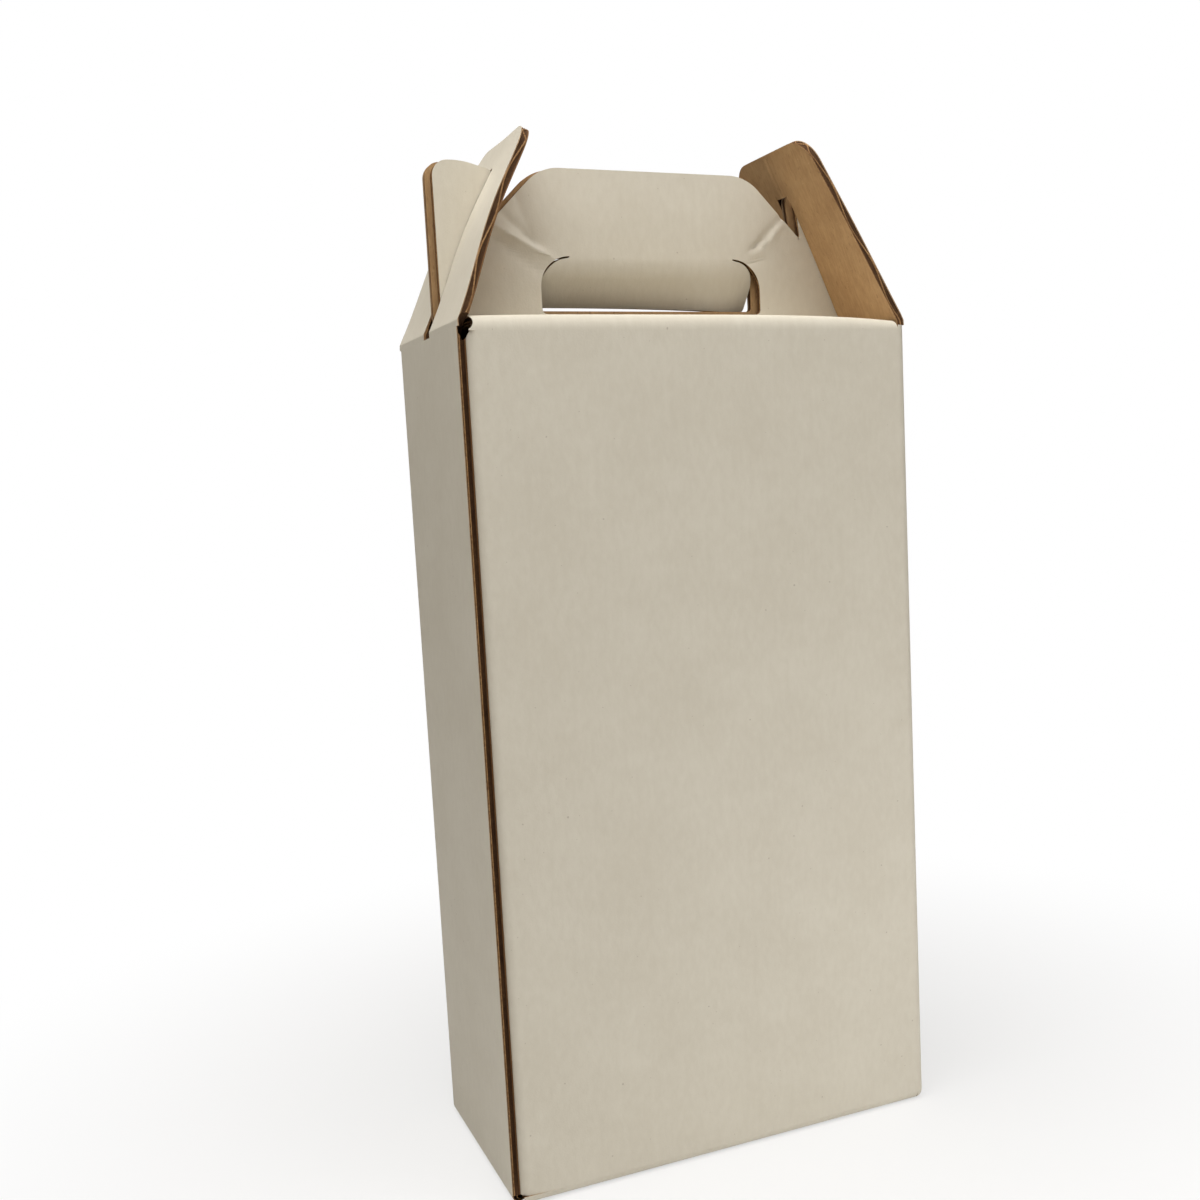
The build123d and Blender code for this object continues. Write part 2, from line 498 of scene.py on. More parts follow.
# %% Walls
fold_radius = 3.5
fold_gap = 0.3
roll_slack = 0.4
roll_radius = board + roll_slack
tab_width = 32.0
tab_end_gap = 8.0
glue_gap = 0.05
cut_edge_recess = 3.2
seam_lean = 0.55
seam_lean_length = 4.0
wall_top = height - fold_radius
side_top = height - board / 2 - fold_gap
side_step = 0.1
quarter = math.pi / 2
straight_end = half_w - fold_radius
tab_face = board + glue_gap - half_w
front_start = tab_face + roll_radius


def seam_dip(x):
    """How far the front wall leans back beside the glued joint: it dies away with distance."""
    return seam_lean * np.exp(-np.maximum(x - front_start, 0) / seam_lean_length)


def wall_plan():
    """The strip from above: glue tab, roll, front, right, back and left walls."""
    fold = (fold_radius * quarter, 90, 8)
    step = (side_step, 0, 1)
    moves = [
        (tab_width - roll_radius, 0, 8),
        (roll_radius * quarter, 90, 10),
        (straight_end - front_start - side_step, 0, 90),
        step,
        fold,
        (2 * (half_d - fold_radius), 0, 16),
        fold,
        step,
        (2 * (straight_end - side_step), 0, 30),
        step,
        fold,
        (2 * half_d - fold_radius - cut_edge_recess, 0, 16),
    ]
    return bent_line((tab_face, tab_width - half_d), -90, moves)


def wall_slab(name):
    """The plan carried up: the tab stops short, and the side walls rise past the roof's folds."""
    plan, normals, run = wall_plan()
    tab_end = tab_width - roll_radius
    front_end = tab_end + roll_radius * quarter + straight_end - front_start
    plan[:, 1] += np.where(run < front_end + side_step / 2, seam_dip(plan[:, 0]), 0)
    shorter = np.interp(run, [tab_end - fold_radius, tab_end], [tab_end_gap - fold_radius, 0])
    on_side = (np.abs(plan[:, 0]) > straight_end - side_step / 2) & (run > half_w)
    top = np.where(on_side, side_top, wall_top) - shorter
    low = fold_radius + shorter
    level = low + (top - low) * np.linspace(0, 1, 40)[:, None]
    outer = stacked(plan[:, 0], plan[:, 1], level)
    into = stacked(normals[:, 0], normals[:, 1], 0 * run)
    place = stacked(run, level)
    sheet = Sheet()
    slab(sheet, outer, outer - board * into, place, place[..., 0], {"right": 1, "last": on_side})
    return sheet.build(name)


front_middle = tab_width - roll_radius + roll_radius * quarter - front_start
walls = wall_slab("walls")

# %% [markdown]
# ## Roof panels
# At the top the front and back walls fold inward over a rounded edge, run flat to the middle and
# turn up into the handle in a tight valley fold. Edge-on that is one more bent line. It is
# followed from the handle down to the wall and carried along the front. The springy board bows
# up a little near the fold, and more to the left than at the right corner.

# %% Roof panels
handle_front = 4.0
valley_radius = 1.2
roof_slit = 1.4
roof_half = half_w - board - roof_slit
roof_bow = 2.3
roof_bow_middle = -0.17
handle_base_half = 85.5


def roof_profile():
    """The roof edge-on: valley fold, flat panel and the rounded fold into the wall."""
    flat = half_d - fold_radius - handle_front - valley_radius
    moves = [
        (valley_radius * quarter, -90, 6),
        (flat, 0, 12),
        (fold_radius * quarter, 90, 12),
    ]
    return bent_line((-handle_front, height + valley_radius), -90, moves)


def roof_panel(name, side):
    """The profile carried along X, on the front for side 1 and mirrored to the back for side -1."""
    profile, normals, run = roof_profile()
    fold_start = run[-1] - fold_radius * quarter
    stations = [0, 2 * valley_radius, fold_start, run[-1]]
    widths = np.interp(run, stations, [handle_base_half, roof_half, roof_half, straight_end])
    x = widths[:, None] * np.linspace(-1, 1, 120)
    dip = seam_dip(x) * np.abs(normals[:, :1]) if side > 0 else 0 * x
    folded = np.clip((profile[:, 1:] - wall_top) / fold_radius, 0, 1)
    inward = np.clip((profile[:, :1] + half_d) / (half_d - handle_front - valley_radius), 0, 1)
    aside = (x / straight_end - roof_bow_middle) / (1 - roof_bow_middle)
    rise = roof_bow * (1 - aside ** 4) * folded * (1 - inward ** 2)
    outer = stacked(x, side * (profile[:, :1] + dip), profile[:, 1:] + rise)
    into = stacked(0 * run, side * normals[:, 0], normals[:, 1])[:, None]
    level = wall_top + run[-1] - run[:, None]
    place = stacked(front_middle + x, level)
    sheet = Sheet()
    slab(sheet, outer, outer - board * into, place, x, {"left": 1, "right": 1})
    return sheet.build(name)


front_roof = roof_panel("front_roof", 1)
back_roof = roof_panel("back_roof", -1)
roof_run = roof_profile()[2][-1]

# %% [markdown]
# ## Relief hole
# Where the roof fold, the joint and the side flap meet, the die punches a small round hole so that
# the corner can fold without tearing. A grid has no natural place for such a hole, so here a
# Boolean modifier cuts it with a short round punch. The punch is used again on the left flap's foot
# and is thrown away after that.

# %% Relief hole
relief_radius = 2.5
relief_rise = 0.9
relief_side = 2.8
relief_lean = 45.0
# painted shade: this place on the blank lies inside the cut edge's open-flute mask, so the punched
# hole's walls come out near black
relief_shade_place = (0.0, 0.3)
punch_length = 7 * board
punch_segments = 40


def relief_punch():
    """A round bar through the corner, leaning forward at its top."""
    mesh = bpy.data.meshes.new("punch")
    bar = bmesh.new()
    place = Vector((relief_side - half_w, -half_d, height + relief_rise)) * MM
    lean = Matrix.Translation(place) @ Matrix.Rotation(math.radians(relief_lean), 4, "X")
    sizes = {"radius1": relief_radius * MM, "radius2": relief_radius * MM, "depth": punch_length * MM}
    bmesh.ops.create_cone(bar, cap_ends=True, segments=punch_segments, matrix=lean, **sizes)
    bar.to_mesh(mesh)
    bar.free()
    blank = mesh.uv_layers.new(name="blank")
    # the hole's walls get the painted shade of the open flutes
    blank.data.foreach_set("uv", np.tile(relief_shade_place, len(mesh.loops)))
    mesh.materials.append(board_finishes[CUT])
    return placed("punch", mesh)


def punched(target, punch):
    """The target's mesh with the punch cut out of it."""
    cut = target.modifiers.new("relief", "BOOLEAN")
    cut.operation = "DIFFERENCE"
    cut.solver = "EXACT"
    cut.material_mode = "TRANSFER"
    cut.object = punch
    graph = bpy.context.evaluated_depsgraph_get()
    mesh = bpy.data.meshes.new_from_object(target.evaluated_get(graph))
    target.modifiers.clear()
    target.data = mesh
    mesh.set_sharp_from_angle(angle=sharp_angle)
    print(target.name, "punched,", len(mesh.polygons), "faces")


punch = relief_punch()
punched(walls, punch)
punched(front_roof, punch)

# %% [markdown]
# ## Outlines with rounded corners
# The handle, the hand hole and the side flaps are flat shapes with straight sides and rounded
# corners. Each is written as its corners and their radii. The arcs are worked out for all corners
# at once and the whole outline is then divided evenly, so that its cut edge can carry the flutes.

# %% Outlines
edge_step = 0.7
arc_points = 13


def rounded(corners, radii, closed):
    """An outline through corners with fillets: points about one edge step apart, and their length.

    A fillet's ends lie radius x tan(half turn) from the corner, and its arc turns the arm from the
    arc's centre to the first end by the corner's turn.
    """
    corners = np.array(corners, float)
    radii = np.array(radii, float)
    back = unit(np.roll(corners, 1, 0) - corners)
    ahead = unit(np.roll(corners, -1, 0) - corners)
    turn = np.arctan2(back[:, 1] * ahead[:, 0] - back[:, 0] * ahead[:, 1], -np.sum(back * ahead, 1))
    if not closed:
        turn[[0, -1]] = 0
        radii[[0, -1]] = 0
    first = corners + back * (radii * np.abs(np.tan(turn / 2)))[:, None]
    inward = stacked(back[:, 1], -back[:, 0]) * np.sign(turn)[:, None]
    arm = -inward * radii[:, None]
    angle = turn[:, None] * np.linspace(0, 1, arc_points)
    arm_x = arm[:, :1] * np.cos(angle) - arm[:, 1:] * np.sin(angle)
    arm_y = arm[:, :1] * np.sin(angle) + arm[:, 1:] * np.cos(angle)
    points = (first - arm)[:, None] + stacked(arm_x, arm_y)
    points = points.reshape(-1, 2)
    points = np.vstack([points, points[:1]]) if closed else points
    run = np.append(0, np.cumsum(np.linalg.norm(np.diff(points, axis=0), axis=1)))
    even = np.linspace(0, run[-1], int(run[-1] / edge_step) + 1)
    return line_at(even, run, points), even


def run_at(points, run, keys):
    """The running length at the points of an outline nearest to each key point."""
    gaps = np.linalg.norm(points[:, None] - np.array(keys, float), axis=-1)
    return run[np.argmin(gaps, 0)]


print("outlines have a point every", edge_step, "mm")

# %% [markdown]
# ## Handle panels
# Each roof panel runs up into a handle panel with two wings, a V-notch beside each wing and a hand
# hole. A mesh could be cut to that outline, but a grid shades better. Every point of the outline
# is joined to a point of the hole's rim by a line with one bend, at a level belt just under the
# notches. All those lines together are one ring-shaped grid without a seam.
#
# The two panels don't quite line up: the back one lies a little further left, and its hole starts
# a little higher. Hooking the flaps over the wings has buckled the card between the notches and the
# hole. A buckle is a ridge along a short line: its height falls off across the line and towards its
# The buckles are listed one by one, each as its two ends, its width and its height.

# %% Handle shape
handle_height = 61.2
handle_top_half = 43.3
notch_depth = 37.5
notch_shoulder = handle_top_half + handle_height - notch_depth
wing_step_low = 7.0
wing_step_high = 10.5
wing_top = 62.3
front_wing_half = 84.8
back_wing_half = 84.9
left_wing_inner = (61.5, 69.5)
right_wing_inner = (65.3, 67.3)
left_slot_top = 65.4
right_slot_top = 60.2
slot_clearance = 0.5
hole_half = 46.7
hole_middle = 1.2
hole_bottom = 7.0
hole_top = 28.7
hole_top_round = 12.0
hole_bottom_round = 2.0
wing_step_round = 0.6
wing_outer_round = 6.0
wing_crown_round = 30.0
wing_inner_round = 2.0
notch_round = 1.5
shoulder_round = 0.5
handle_top_round = 18.0
back_shift = -1.7
back_hole_rise = 1.7
back_hole_bottom = hole_bottom + back_hole_rise
belt_drop = 1.0
belt = notch_depth - belt_drop


def handle_half(wing_half, wing_inner, slot_top):
    """Corners and radii of the right half: foot, wing, notch, shoulder.

    The wing's crown is level outside and follows an arc about the flap's fold inside, so that the
    slot of the turning flap clears it.
    """
    reach = slot_top - slot_clearance
    inner_top, inner_bottom = wing_inner
    middle = (wing_half + inner_top) / 2
    places = (wing_half, middle, inner_top)
    crown = [min(wing_top, math.sqrt(reach ** 2 - (hinge_x - x) ** 2)) for x in places]
    return [
        (handle_base_half, valley_radius, 0),
        (handle_base_half, wing_step_low, wing_step_round),
        (wing_half, wing_step_high, wing_step_round),
        (wing_half, crown[0], wing_outer_round),
        (middle, crown[1], wing_crown_round),
        (inner_top, crown[2], wing_inner_round),
        (inner_bottom, notch_depth, notch_round),
        (notch_shoulder, notch_depth, shoulder_round),
        (handle_top_half, handle_height, handle_top_round),
    ]


def handle_outline(wing_half):
    """The whole outline, from the right foot over the top to the left foot and back."""
    right = handle_half(wing_half, right_wing_inner, right_slot_top)
    left = handle_half(wing_half, left_wing_inner, left_slot_top)
    corners = np.array(right + [(-x, z, radius) for x, z, radius in reversed(left)])
    return rounded(corners[:, :2], corners[:, 2], True)


def hole_rim(low):
    """The hand hole's rim, from the bottom right corner round to it again."""
    corners = [(hole_half, low), (hole_half, hole_top), (-hole_half, hole_top), (-hole_half, low)]
    radii = [hole_bottom_round, hole_top_round, hole_top_round, hole_bottom_round]
    rim = rounded(corners, radii, True)[0]
    return rim + [hole_middle, 0]


def ring_of_lines(wing_half, hole_low):
    """Rows x columns x 2 grid from the hole's rim out to the belt and on to the outline."""
    outline, run = handle_outline(wing_half)
    right = [(wing_half, belt), (right_wing_inner[1], notch_depth), (notch_shoulder, notch_depth)]
    left = [(-notch_shoulder, notch_depth), (-left_wing_inner[1], notch_depth), (-wing_half, belt)]
    keys = right + left
    level = np.interp(run, run_at(outline, run, keys), [x for x, _ in keys])
    above = outline[:, 1] > belt
    bend = np.where(above[:, None], stacked(level, np.full(len(run), belt)), outline)
    centre = np.array([hole_middle, (hole_bottom + hole_top) / 2])
    rim = hole_rim(hole_low)
    rim_angle = np.arctan2(*(rim - centre).T[::-1])
    angle = np.arctan2(*(bend - centre).T[::-1])
    start = line_at(angle, rim_angle, rim, period=2 * np.pi)
    near = start + (bend - start) * np.linspace(0, 1, 13)[:, None, None]
    far = bend + (outline - bend) * np.linspace(0, 1, 9)[1:, None, None]
    return np.concatenate([near, far])


ridge_power = 1.2
ridge_end = 1.5
bow_height = 0.35
bow_length = 31.0
bow_phase = 0.6
foot_fade = 12.0


def ridge(x, z, start, end, width, lift):
    """Height of a buckle: `lift` on the line from start to end, falling off over `width`."""
    (x0, z0), (x1, z1) = start, end
    length = math.hypot(x1 - x0, z1 - z0)
    along = ((x - x0) * (x1 - x0) + (z - z0) * (z1 - z0)) / length
    aside = ((x - x0) * (z1 - z0) - (z - z0) * (x1 - x0)) / length
    beyond = np.maximum(np.abs(along / length - 0.5) - 0.5, 0) * length
    return lift * np.exp(-np.abs(aside / width) ** ridge_power - (beyond / (ridge_end * width)) ** 2)


front_buckles = [
    ((-61, 38.5), (-44, 29.5), 1.8, 1.4),
    ((-58, 43.0), (-48, 34.5), 1.6, -1.0),
    ((-60, 33.5), (-47, 24.0), 2.4, -0.9),
    ((-56, 57.0), (-47, 34.0), 4.5, -1.0),
    ((60, 46.5), (46, 33.5), 1.1, -1.0),
    ((58, 42.0), (48, 31.0), 1.6, 0.8),
    ((52, 37.0), (46, 28.0), 1.5, -0.7),
]
back_buckles = [
    ((-58, 41.0), (-45, 31.0), 2.2, 0.5),
    ((58, 40.0), (45, 30.0), 2.2, 0.5),
]


def handle_bow(x, z):
    """The slow bow of a whole panel: a sine along X that grows from the roof upward."""
    return bow_height * np.sin(x / bow_length + bow_phase) * np.clip(z / handle_height, 0, 1)


def handle_relief(x, z, buckles):
    """How far the card stands proud: the bow of the panel and all its buckles."""
    return handle_bow(x, z) + sum(ridge(x, z, *buckle) for buckle in buckles)


print("buckles:", len(front_buckles), "in front,", len(back_buckles), "behind")


# %% Handle panels
def handle_panel(name, side, buckles, wing_half, shift, hole_low):
    """One panel: front for side 1 and back for side -1, with its white face outward.

    Above its foot it is shifted along X, and its relief grows from nothing at the foot.
    """
    flat = ring_of_lines(wing_half, hole_low)
    x, z = flat[..., 0], flat[..., 1]
    x = x + shift * np.clip(z / wing_step_high, 0, 1)
    lift = handle_relief(x, z, buckles) * np.clip((z - valley_radius) / foot_fade, 0, 1)
    face = -side * (handle_front + lift)
    outer = stacked(x, face, height + z)
    inner = outer + np.array([0, side * board, 0])
    place = stacked(front_middle + x, wall_top + roof_run + z)
    sheet = Sheet()
    slab(sheet, outer, inner, place, x, {"first": 1, "last": 1}, closed=True)
    return sheet.build(name)


front_handle = handle_panel("front_handle", 1, front_buckles, front_wing_half, 0, hole_bottom)
back_handle = handle_panel("back_handle", -1, back_buckles, back_wing_half, back_shift, back_hole_bottom)

# %% [markdown]
# ## Grip tabs
# The card cut free from each hand hole stays attached along the hole's top edge and is pushed
# through to the back, so that the hand presses on a soft bend. Edge-on it is a bent line that
# curls back and then runs straight. Its half width grows along the curved slits and is then even.
# The tab is twisted: its left end is pushed back further than the rest, so two such lines are
# worked out and every point lies between them. Its lower right corner curls back as well.

# %% Grip tabs
front_kerf = 0.7
back_kerf = 0.2
front_angles = (36, 12)
back_angles = (40, 18)
twist_power = 2.5
grip_bend = 9.0
grip_corner = 2.5
grip_curl = 5.0
curl_inward = 0.7
grip_drop = hole_top - hole_bottom - front_kerf


def grip_half(run, kerf):
    """Half width of the tab: an arc inside the hole's rounded corner, even, then a small corner."""
    slit = np.clip(hole_top_round - run, 0, None)
    arc = np.sqrt(np.clip((hole_top_round - kerf) ** 2 - slit ** 2, 0, None))
    tip = np.clip(run - grip_drop + grip_corner, 0, None)
    corner = grip_corner - np.sqrt(np.clip(grip_corner ** 2 - tip ** 2, 0, None))
    return hole_half - hole_top_round + arc - corner


def grip_faces(front_face, angle, kerf):
    """The tab's front and rear grid when the whole of it is bent back by one angle."""
    moves = [(grip_bend, angle, 24), (grip_drop - grip_bend, 0, 14)]
    line, normals, run = bent_line((front_face, height + hole_top), -90, moves)
    x = hole_middle + grip_half(run, kerf)[:, None] * np.linspace(-1, 1, 130)
    front = stacked(x, line[:, :1], line[:, 1:])
    away = stacked(0 * run, normals[:, 0], normals[:, 1])[:, None]
    return np.stack([front, front - board * away]), run[:, None]


def grip_tab(name, side, angles, kerf):
    """A tab on the top edge of the front panel's hole for side 1, of the back panel's for side -1.

    `angles` are the bends at its left and right end. At its root it follows the panel's bow.
    """
    front_face = -handle_front if side > 0 else handle_front - board
    left, run = grip_faces(front_face, angles[0], kerf)
    right, _ = grip_faces(front_face, angles[1], kerf)
    x = left[0, ..., 0]
    share = np.clip(((x - hole_middle) / hole_half + 1) / 2, 0, 1)[..., None]
    grids = left + (right - left) * share ** twist_power
    outer_part = np.clip((x - hole_half / 2) / (hole_half / 2), 0, 1)
    curl = grip_curl * outer_part ** 2 * run / grip_drop
    bow = handle_bow(x, hole_top) * (1 - run / grip_drop)
    front, rear = grids + stacked(-curl_inward * curl, curl - side * bow, 0 * curl)
    white, brown = (front, rear) if side > 0 else (rear, front)
    level = wall_top + roof_run + hole_top - run
    place = stacked(front_middle + x, level)
    flutes = np.where(run < run[-1], x, 0)
    sheet = Sheet()
    slab(sheet, white, brown, place, flutes, {"left": 1, "right": 1})
    return sheet.build(name)


front_grip = grip_tab("front_grip", 1, front_angles, front_kerf)
back_grip = grip_tab("back_grip", -1, back_angles, back_kerf)

# %% [markdown]
# ## Side flaps
# A flap narrows towards its top, has rounded corners and a long slot that straddles the handle's
# wing. Slot and outline are two horseshoes, one inside the other, and lines between them make one
# grid. Above the slot a pressed crease runs to the top edge, and the card is bent there: the crease
# lies further in than the corners, and more so the higher it is. Hooked in place, the flap also
# bows outward between its fold and its top, and the right one is pulled in at its tip.

# %% Side flap shape
flap_length = 78.5
flap_base_half = 44.0
flap_top_half = 29.0
flap_round = 13.0
slot_half = 4.25
flap_start = 2.4
flap_start_half = np.interp(flap_start, [0, flap_length], [flap_base_half, flap_top_half])
slot_flutes = 1.0
outline_flutes = 0.3
crease_half = 0.8
crease_depth = 0.5


def horseshoe(slot_top):
    """Rows x columns x 2 grid of (Y, distance from the fold), from the slot to the outline."""
    right = [(flap_start_half, flap_start), (flap_top_half, flap_length)]
    right_slot = [(slot_half, flap_start), (slot_half, slot_top)]
    corners = right + [(-y, s) for y, s in reversed(right)]
    slot = np.array(right_slot + [(-y, s) for y, s in reversed(right_slot)])
    outline, run = rounded(corners, [0, flap_round, flap_round, 0], False)
    keys = [0, *run_at(outline, run, corners[1:3]), run[-1]]
    inside = line_at(run, keys, slot)
    return inside + (outline - inside) * np.linspace(0, 1, 16)[:, None, None]


def lean_of(joint_name):
    """How far a flap leans in at rest: its travel outward, less the quarter turn that lays it level."""
    return math.radians(-joints[joint_name]["range_deg"][0] - 90)


def side_flap(name, joint_name, side, slot_top, crease_bend, bow, tip_bend):
    """A flap leaned in over the wing: right for side 1 and left for side -1.

    It is bent inward towards its crease and its tip, and bows outward between its fold and its tip.
    """
    lean = lean_of(joint_name)
    flat = horseshoe(slot_top)
    y, s = flat[..., 0], flat[..., 1]
    bend = crease_bend * np.clip(1 - np.abs(y) / flap_top_half, 0, 1) * (s / flap_length) ** 2
    reach = (s - flap_start) / (flap_length - flap_start)
    bend = bend - bow * np.sin(np.pi * reach) ** 2 + tip_bend * reach
    pressed = np.exp(-(y / crease_half) ** 2) * np.clip((s - slot_top) / crease_half, 0, 1)
    faces = []
    for offset in (board / 2, crease_depth * pressed - board / 2):
        out = offset - bend
        x = side * (hinge_x - s * math.sin(lean) + out * math.cos(lean))
        faces.append(stacked(x, y, height + s * math.cos(lean) + out * math.sin(lean)))
    place = stacked(y + side * half_w, height + s)
    sheet = Sheet()
    slab(sheet, *faces, place, y, {"first": slot_flutes, "last": outline_flutes})
    return sheet.build(name)


print("side flap", flap_length, "mm long,", 2 * flap_base_half, "mm wide at its fold")

# %% Side flaps
right_bends = {"crease_bend": 1.4, "bow": 0.3, "tip_bend": 1.3}
left_bends = {"crease_bend": 0.4, "bow": 1.7, "tip_bend": 0.0}
right_flap = side_flap("right_side_flap", "right_flap_fold", 1, right_slot_top, **right_bends)
left_flap = side_flap("left_side_flap", "left_flap_fold", -1, left_slot_top, **left_bends)

# %% [markdown]
# ## Flap folds
# Between the side wall and each flap the card bends, on both sides of the slot. This strip belongs
# to neither body: its lower rows start at the side wall and its upper rows end at the flap's foot,
# at the flap's lean at rest. Its white side is an arc about the fold, and its brown side a sharp
# valley. At the front left corner the relief hole takes a bite out of the strip and out of the flap
# above it.

# %% Flap folds
straight_steps = 4
arc_steps = 6


def fold_lines(lean):
    """The strip edge-on: points of its white line and of its brown line, and the running length."""
    moves = [
        (height - side_top, 0, straight_steps),
        (board / 2 * lean, math.degrees(lean), arc_steps),
        (flap_start, 0, straight_steps),
    ]
    line, normals, run = bent_line((half_w, side_top), 90, moves)
    half = board / 2
    valley_z = height - half * math.sin(lean) + half * math.tan(lean / 2) * math.cos(lean)
    inner_ends = np.array([
        line[0] - board * normals[0],
        (half_w - board, valley_z),
        line[-1] - board * normals[-1],
    ])
    keys = [0, run[straight_steps + arc_steps // 2], run[-1]]
    return line, line_at(run, keys, inner_ends), run


def flap_fold(name, joint_name, side):
    """The bent strips below one flap, from the side wall's top to the flap's foot."""
    lean = lean_of(joint_name)
    line, inner_line, run = fold_lines(lean)
    ends = np.interp(run, [0, run[-1]], [flap_base_half, flap_start_half])[:, None]
    sheet = Sheet()
    for half in (1, -1):
        y = half * (slot_half + (ends - slot_half) * np.linspace(0, 1, 60))
        grids = []
        for path in (line, inner_line):
            grids.append(stacked(side * path[:, :1], y, path[:, 1:]))
        place = stacked(y + side * half_w, side_top + run[:, None])
        slab(sheet, *grids, place, y, {})
    strip = sheet.build(name)
    if side < 0:
        punched(strip, punch)
    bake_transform(strip)


flap_fold("right_flap_fold_strip", "right_flap_fold", 1)
flap_fold("left_flap_fold_strip", "left_flap_fold", -1)
punched(left_flap, punch)
bpy.data.objects.remove(punch)

# %% [markdown]
# ## Floor
# Underneath, four flaps meet: two wide ones from the front and back walls and a pointed one from
# each side, with narrow slits between them and a second layer lapped above. Each flap is the
# rounded fold of its wall and a flat part that narrows to the slit, so it is one bent line carried
# along the wall. The three folded corners between them are eighths of a ball.

# %% Floor
seam_half = 0.5
seam_corner = 5.0
seam_inset = 40.0
corner_gap = 0.05
pointed_tip_half = 0.3
lap_margin = 18.0
lap_gap = 0.05


def floor_flap(sheet, reach, widths, swap, side):
    """A flap folded in from a wall `reach` from the middle; `swap` turns it onto the side walls.

    `widths` holds distances from the middle, from the wall inward, and the half widths there.
    """
    moves = [(fold_radius * quarter, 90, 8), (reach - fold_radius - widths[0][-1], 0, 24)]
    line, normals, run = bent_line((-reach, fold_radius), -90, moves)
    half = np.interp(-line[:, 0], widths[0][::-1], widths[1][::-1])
    along = half[:, None] * np.linspace(-1, 1, 40)
    across = np.broadcast_to(line[:, :1], along.shape)
    level = np.broadcast_to(line[:, 1:], along.shape)
    shift = board * normals
    inner_across = across - shift[:, :1]
    inner_level = level - shift[:, 1:]
    order = [1, 0, 2] if swap else [0, 1, 2]
    outer = stacked(along, side * across, level)[..., order]
    inner = stacked(along, side * inner_across, inner_level)[..., order]
    place = stacked(front_middle + along, -run[:, None])
    slab(sheet, outer, inner, place, along, {"last": 1, "left": 1, "right": 1})


def floor_corner(sheet, side, end):
    """An eighth of a ball between two folded walls: longitude `around`, and `down` from its equator."""
    around, down = np.meshgrid(np.linspace(0, quarter, 9), np.linspace(0, quarter, 9))
    middle = [side * straight_end, end * (half_d - fold_radius), fold_radius]
    level_part = np.cos(down)
    ball = stacked(
        side * np.cos(around) * level_part,
        end * np.sin(around) * level_part,
        -np.sin(down),
    )
    place = stacked(around * fold_radius, down * fold_radius)
    outer = middle + fold_radius * ball
    inner = middle + (fold_radius - board) * ball
    slab(sheet, outer, inner, place, place[..., 0], {})


def floor_lap(sheet):
    """The second layer, a plain slab just above the outer flaps."""
    lap_half_x = half_w - lap_margin
    lap_half_y = half_d - 2 * board
    x, y = np.meshgrid(np.linspace(-lap_half_x, lap_half_x, 8), np.linspace(-lap_half_y, lap_half_y, 6))
    lap = stacked(x, y, np.full(x.shape, board + lap_gap))
    slab(sheet, lap, lap + [0, 0, board], lap[..., :2], x, {})


apex = half_w - seam_inset
corner_x = half_w - seam_corner
corner_y = half_d - seam_corner
wide_reach = [half_d, corner_y, seam_half]
wide_half = [straight_end - corner_gap, corner_x - seam_half, apex - seam_half]
pointed_reach = [half_w, corner_x, apex + 2 * seam_half]
pointed_half = [half_d - fold_radius - corner_gap, corner_y - seam_half, pointed_tip_half]
floor_sheet = Sheet()
for side in (1, -1):
    floor_flap(floor_sheet, half_d, (wide_reach, wide_half), False, side)
    floor_flap(floor_sheet, half_w, (pointed_reach, pointed_half), True, side)
for side, end in ((1, -1), (1, 1), (-1, 1)):
    floor_corner(floor_sheet, side, end)
floor_lap(floor_sheet)
floor_flaps = floor_sheet.build("floor_flaps")

# %% [markdown]
# ## Bodies
# Everything that doesn't swing rides on the carton, each flap rides on its own body, and the walls
# and the two flaps stand for the three CAD nodes, which are hidden.

# %% Bodies
carton_pieces = [
    walls, front_roof, back_roof, front_handle, back_handle, front_grip, back_grip, floor_flaps,
]
for piece in carton_pieces:
    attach(piece, "carton")
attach(right_flap, "right_flap")
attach(left_flap, "left_flap")
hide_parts("carton_body")
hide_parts("right_flap")
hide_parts("left_flap")
print(len(carton_pieces), "pieces ride on the carton")

# %% [markdown]
# ## Studio
# The picture has a white ground and soft light that comes mostly from above and in front. A pale
# floor keeps the shadow near the box and fades to white further out, and the world is white to the
# camera only. Two large lamps, a small one low at the right and a dim warm world light the box, at
# a level where paper shows about the colour that is written for it.

# %% Studio
floor_half = 3.0
floor_drop = 0.0002
floor_grey = (0.85, 0.85, 0.85, 1)
floor_white = 0.62
fade_start = 0.1
fade_end = 0.4
world_level = 0.075
world_colour = (1, 0.88, 0.72, 1)
pure_white = (1, 1, 1, 1)
ceiling_colour = (1.0, 0.98, 0.95)


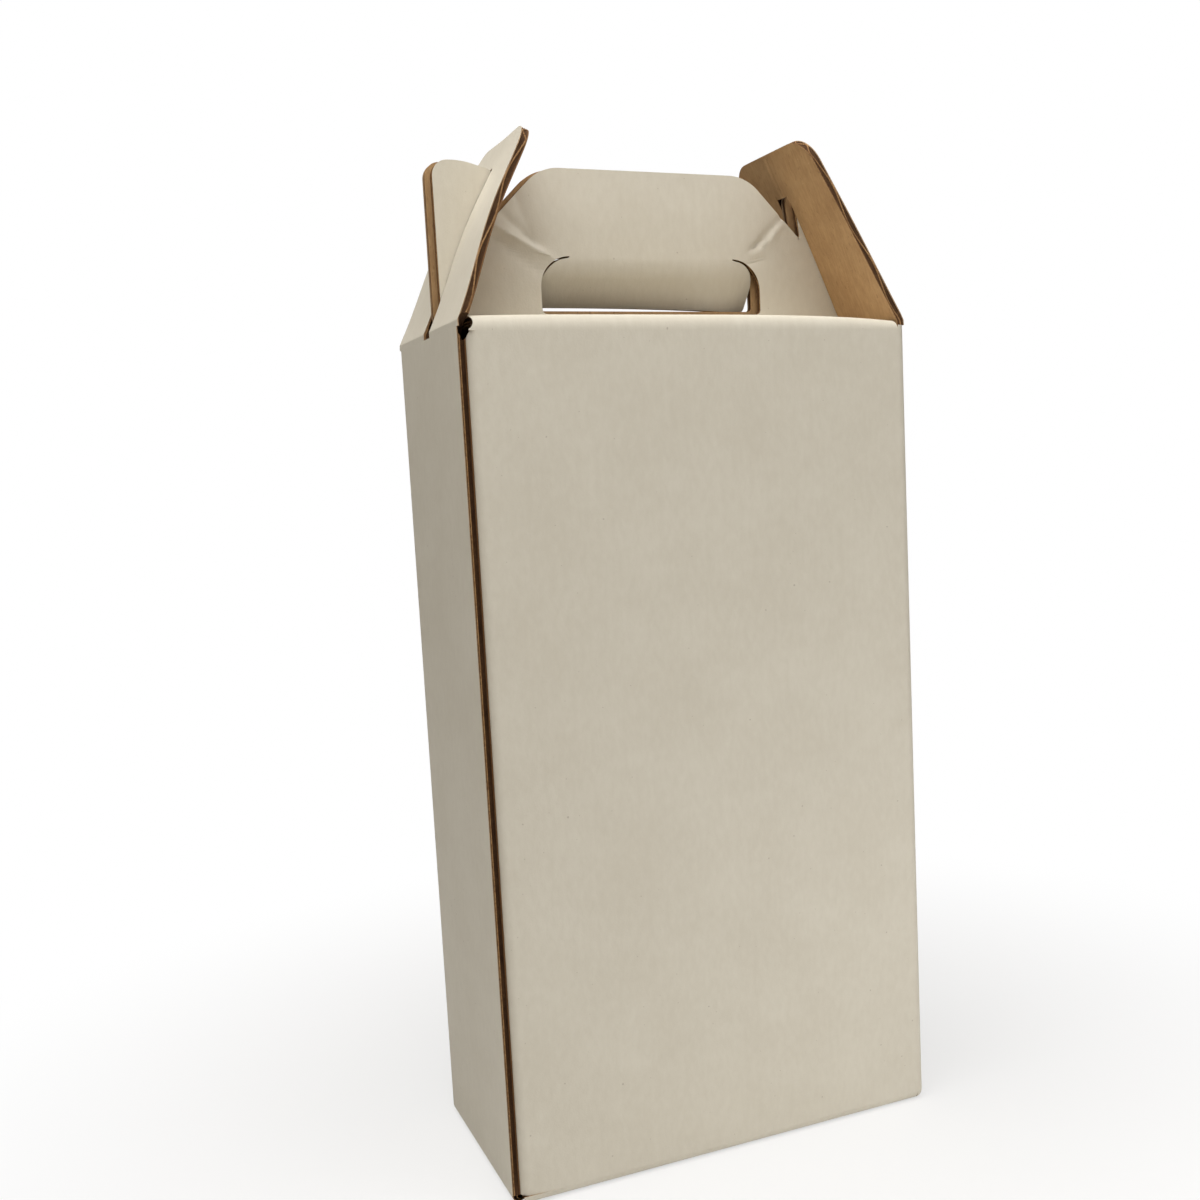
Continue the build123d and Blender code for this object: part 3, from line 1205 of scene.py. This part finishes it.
def studio_floor():
    """A level square; its shader fades from pale matt to plain white with distance from the box."""
    corners = floor_half * np.array([[-1, -1, 0], [1, -1, 0], [1, 1, 0], [-1, 1, 0]])
    mesh = bpy.data.meshes.new("studio_floor")
    mesh.from_pydata(corners.tolist(), [], [[0, 1, 2, 3]])
    made = placed("studio_floor", mesh)
    made.location.z = -floor_drop
    material, shade = new_material("studio_floor")
    place = shade.node("ShaderNodeTexCoord", {}, {}, output=3)
    distance = shade.node("ShaderNodeVectorMath", {"operation": "LENGTH"}, {0: place}, output=1)
    seen = shade.node("ShaderNodeLightPath", {}, {}, output=0)
    matt = shade.node("ShaderNodeBsdfDiffuse", {}, {"Color": floor_grey})
    glow = shade.node("ShaderNodeEmission", {}, {"Color": pure_white, "Strength": 1.0})
    whitened = floor_white + distance.rise(fade_start, fade_end) * (1.0 - floor_white)
    mixed = shade.node("ShaderNodeMixShader", {}, {0: whitened * seen, 1: matt, 2: glow})
    finish_material(shade, mixed)
    mesh.materials.append(material)


def studio_world():
    """White to the camera, a dim warm light to everything else."""
    world = bpy.data.worlds.new("studio")
    world.use_nodes = True
    world.node_tree.nodes.clear()
    shade = Shade(world.node_tree)
    seen = shade.node("ShaderNodeLightPath", {}, {}, output=0)
    light = shade.node("ShaderNodeBackground", {}, {"Color": world_colour, "Strength": world_level})
    ground = shade.node("ShaderNodeBackground", {}, {"Color": pure_white, "Strength": 1.0})
    mixed = shade.node("ShaderNodeMixShader", {}, {0: seen, 1: light, 2: ground})
    shade.node("ShaderNodeOutputWorld", {}, {"Surface": mixed})
    bpy.context.scene.world = world


def soft_lamp(name, place, aim, size, power, colour):
    """A square lamp at a place, facing a point, with its side in metres and its power in watts."""
    lamp = bpy.data.lights.new(name, "AREA")
    lamp.size = size
    lamp.energy = power
    lamp.color = colour
    made = placed(name, lamp)
    made.location = place
    made.rotation_euler = (Vector(aim) - Vector(place)).to_track_quat("-Z", "Y").to_euler()


studio_floor()
studio_world()
box_middle = (0, 0, height * MM / 2)
front_foot = (0.08, -0.05, 0.02)
soft_lamp("ceiling_lamp", (-0.18, -0.2, 1.05), box_middle, 1.0, 12.5, ceiling_colour)
soft_lamp("front_lamp", (0.45, -0.6, 0.9), box_middle, 0.5, 1.2, pure_white[:3])
soft_lamp("low_lamp", (0.2, -0.32, 0.03), front_foot, 0.1, 0.24, pure_white[:3])
bpy.context.scene.view_settings.view_transform = "Standard"
print("lamps:", [lamp.name for lamp in bpy.data.lights])

# %% Scene update
bpy.context.view_layer.update()
